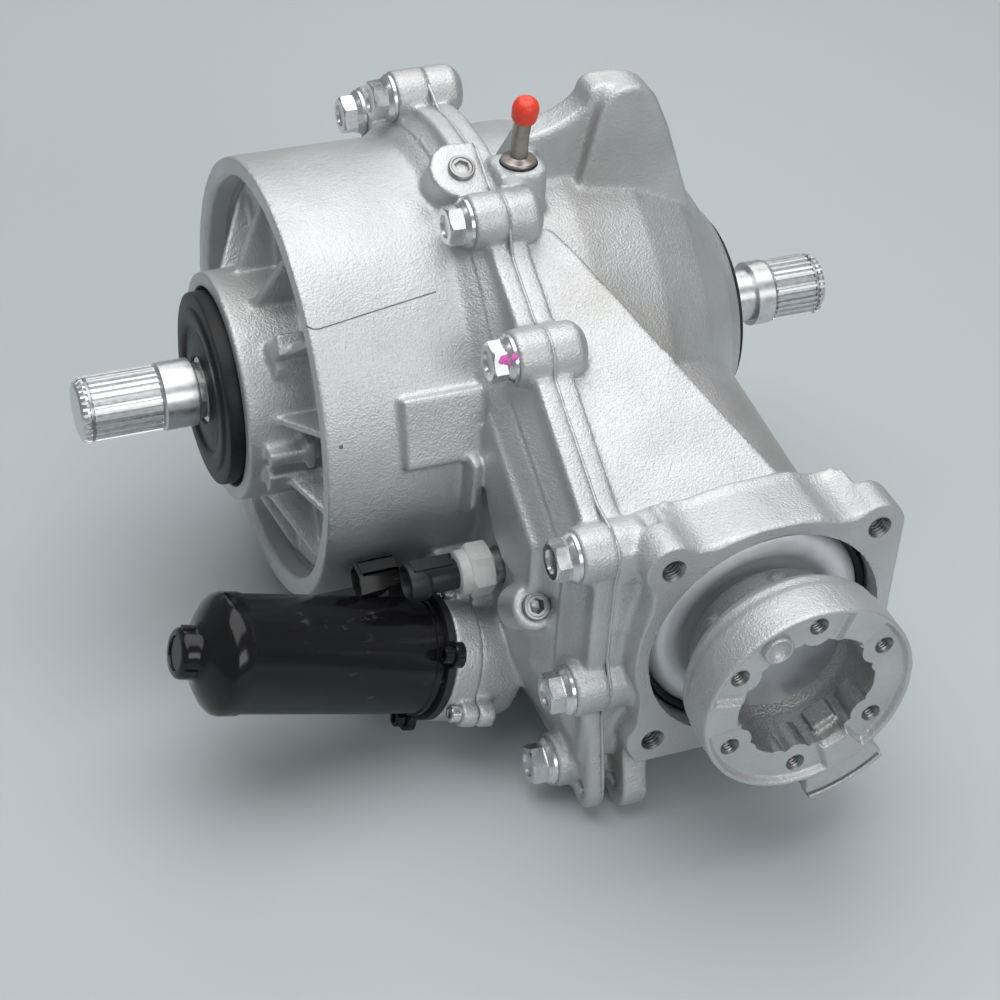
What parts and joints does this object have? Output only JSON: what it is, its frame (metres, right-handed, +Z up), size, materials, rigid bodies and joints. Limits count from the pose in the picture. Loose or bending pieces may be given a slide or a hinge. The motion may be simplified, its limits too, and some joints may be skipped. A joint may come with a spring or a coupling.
{
  "type": "rear differential",
  "caption": "Rear axle differential in a two-piece cast casing, with a hypoid gear pair, bevel differential and a motor-driven disc clutch on its left output.",
  "frame": {"origin": "centre of the four-bolt front mounting face, on the pinion line", "axes": "+X along the axle towards the right output, -Y forward out of the front mounting face, +Z up"},
  "size_m": [0.4215, 0.4315, 0.3037],
  "materials": {
    "cast_aluminium": "sand cast and blasted, matt",
    "zinc_bolt": "bright zinc plate",
    "plug_steel": "plain",
    "tube_steel": "bronzed by heat",
    "red_cap": "soft gloss",
    "black_rubber": "satin",
    "bearing_steel": "ground",
    "gear_steel": "machined",
    "case_iron": "as cast and turned",
    "shaft_steel": "machined",
    "disc_steel": "ground",
    "friction": "paper lining",
    "polished_steel": "pressed and polished",
    "black_paint": "gloss",
    "black_plastic": "moulded",
    "nut_white": "moulded",
    "rotor_steel": "laminated"
  },
  "bodies": {
    "housing": {"main_housing": "cast_aluminium", "left_casing": "cast_aluminium", "end_cover": "cast_aluminium", "cover_snap_ring": "gear_steel", "housing_bolts": "zinc_bolt", "fill_plug": "plug_steel", "level_plug": "plug_steel", "breather_tube": "tube_steel", "left_seal": "black_rubber", "right_seal": "black_rubber", "left_bearing_cup": "bearing_steel", "right_bearing_cup": "bearing_steel", "rear_bearing_cup": "bearing_steel", "front_bearing_cup": "bearing_steel", "ramp_thrust_bearing": "bearing_steel", "left_output_bearing": "bearing_steel", "pinion_seal": "black_rubber", "bore_seal": "black_rubber", "idler_pin": "shaft_steel", "adapter_block": "cast_aluminium", "adapter_screws": "plug_steel", "motor_can": "black_paint", "motor_flange": "black_plastic", "motor_bolts": "black_paint", "motor_connector": "black_plastic", "sensor_body": "plug_steel", "sensor_nut": "nut_white", "sensor_connector": "black_plastic"},
    "cap": {"breather_cap": "red_cap"},
    "carrier": {"ring_gear": "gear_steel", "ring_gear_bolts": "plug_steel", "diff_case": "case_iron", "cross_pin": "shaft_steel", "left_bearing_cone": "bearing_steel", "right_bearing_cone": "bearing_steel", "clutch_hub": "gear_steel", "steel_discs": "disc_steel"},
    "upper_spider": {"upper_spider_gear": "gear_steel"},
    "lower_spider": {"lower_spider_gear": "gear_steel"},
    "left_output": {"left_side_gear": "gear_steel", "left_output_shaft": "shaft_steel", "left_circlip": "gear_steel", "clutch_drum": "gear_steel", "friction_discs": "friction"},
    "right_output": {"right_side_gear": "gear_steel", "right_output_shaft": "shaft_steel", "right_circlip": "gear_steel"},
    "pinion": {"pinion_shaft": "gear_steel", "rear_bearing_cone": "bearing_steel", "front_bearing_cone": "bearing_steel", "crush_sleeve": "gear_steel", "pinion_nut": "plug_steel", "input_flange": "cast_aluminium", "flange_cap": "plug_steel", "dust_deflector": "polished_steel"},
    "ramp": {"ramp_ring": "gear_steel"},
    "balls": {"ramp_balls": "bearing_steel"},
    "presser": {"pressure_ring": "gear_steel"},
    "idler": {"idler_gear": "gear_steel"},
    "rotor": {"motor_rotor": "rotor_steel"}
  },
  "joints": [
    {"name": "ring_spin", "type": "hinge", "parent": "housing", "child": "carrier", "pos_m": [-0.04, 0.239, 0.025], "axis": [1, 0, 0], "continuous": true},
    {"name": "pinion_spin", "type": "hinge", "parent": "housing", "child": "pinion", "pos_m": [0, 0, 0], "axis": [0, -1, 0], "continuous": true},
    {"name": "left_output_turn", "type": "hinge", "parent": "carrier", "child": "left_output", "pos_m": [-0.15, 0.239, 0.025], "axis": [1, 0, 0], "continuous": true},
    {"name": "right_output_turn", "type": "hinge", "parent": "carrier", "child": "right_output", "pos_m": [0.06, 0.239, 0.025], "axis": [1, 0, 0], "continuous": true},
    {"name": "upper_spider_turn", "type": "hinge", "parent": "carrier", "child": "upper_spider", "pos_m": [0, 0.239, 0.055], "axis": [0, 0, 1], "continuous": true},
    {"name": "lower_spider_turn", "type": "hinge", "parent": "carrier", "child": "lower_spider", "pos_m": [0, 0.239, -0.005], "axis": [0, 0, 1], "continuous": true},
    {"name": "ramp_turn", "type": "hinge", "parent": "housing", "child": "ramp", "pos_m": [-0.112, 0.239, 0.025], "axis": [1, 0, 0], "range_deg": [0, 36]},
    {"name": "ball_turn", "type": "hinge", "parent": "housing", "child": "balls", "pos_m": [-0.118, 0.239, 0.025], "axis": [1, 0, 0], "range_deg": [0, 18]},
    {"name": "pressure_slide", "type": "slide", "parent": "housing", "child": "presser", "axis": [-1, 0, 0], "range_m": [0, 0.0008]},
    {"name": "idler_turn", "type": "hinge", "parent": "housing", "child": "idler", "pos_m": [-0.1129, 0.14075, -0.0645], "axis": [1, 0, 0], "range_deg": [-97, 0]},
    {"name": "rotor_turn", "type": "hinge", "parent": "housing", "child": "rotor", "pos_m": [-0.1129, 0.09602, -0.0645], "axis": [0.9613, 0, -0.2756], "range_deg": [0, 423]},
    {"name": "cap_slide", "type": "slide", "parent": "housing", "child": "cap", "axis": [0, -0.2419, 0.9703], "range_m": [0, 0.014]}
  ],
  "couplings": [
    {"joint": "pinion_spin", "follows": "ring_spin", "ratio": 3.7273},
    {"joint": "right_output_turn", "follows": "left_output_turn", "ratio": -1},
    {"joint": "upper_spider_turn", "follows": "left_output_turn", "ratio": 1.4},
    {"joint": "lower_spider_turn", "follows": "left_output_turn", "ratio": -1.4},
    {"joint": "ball_turn", "follows": "ramp_turn", "ratio": 0.5},
    {"joint": "pressure_slide", "follows": "ramp_turn", "m_per_rad": 0.00127},
    {"joint": "idler_turn", "follows": "ramp_turn", "ratio": -2.6875},
    {"joint": "rotor_turn", "follows": "ramp_turn", "ratio": 11.727}
  ]
}
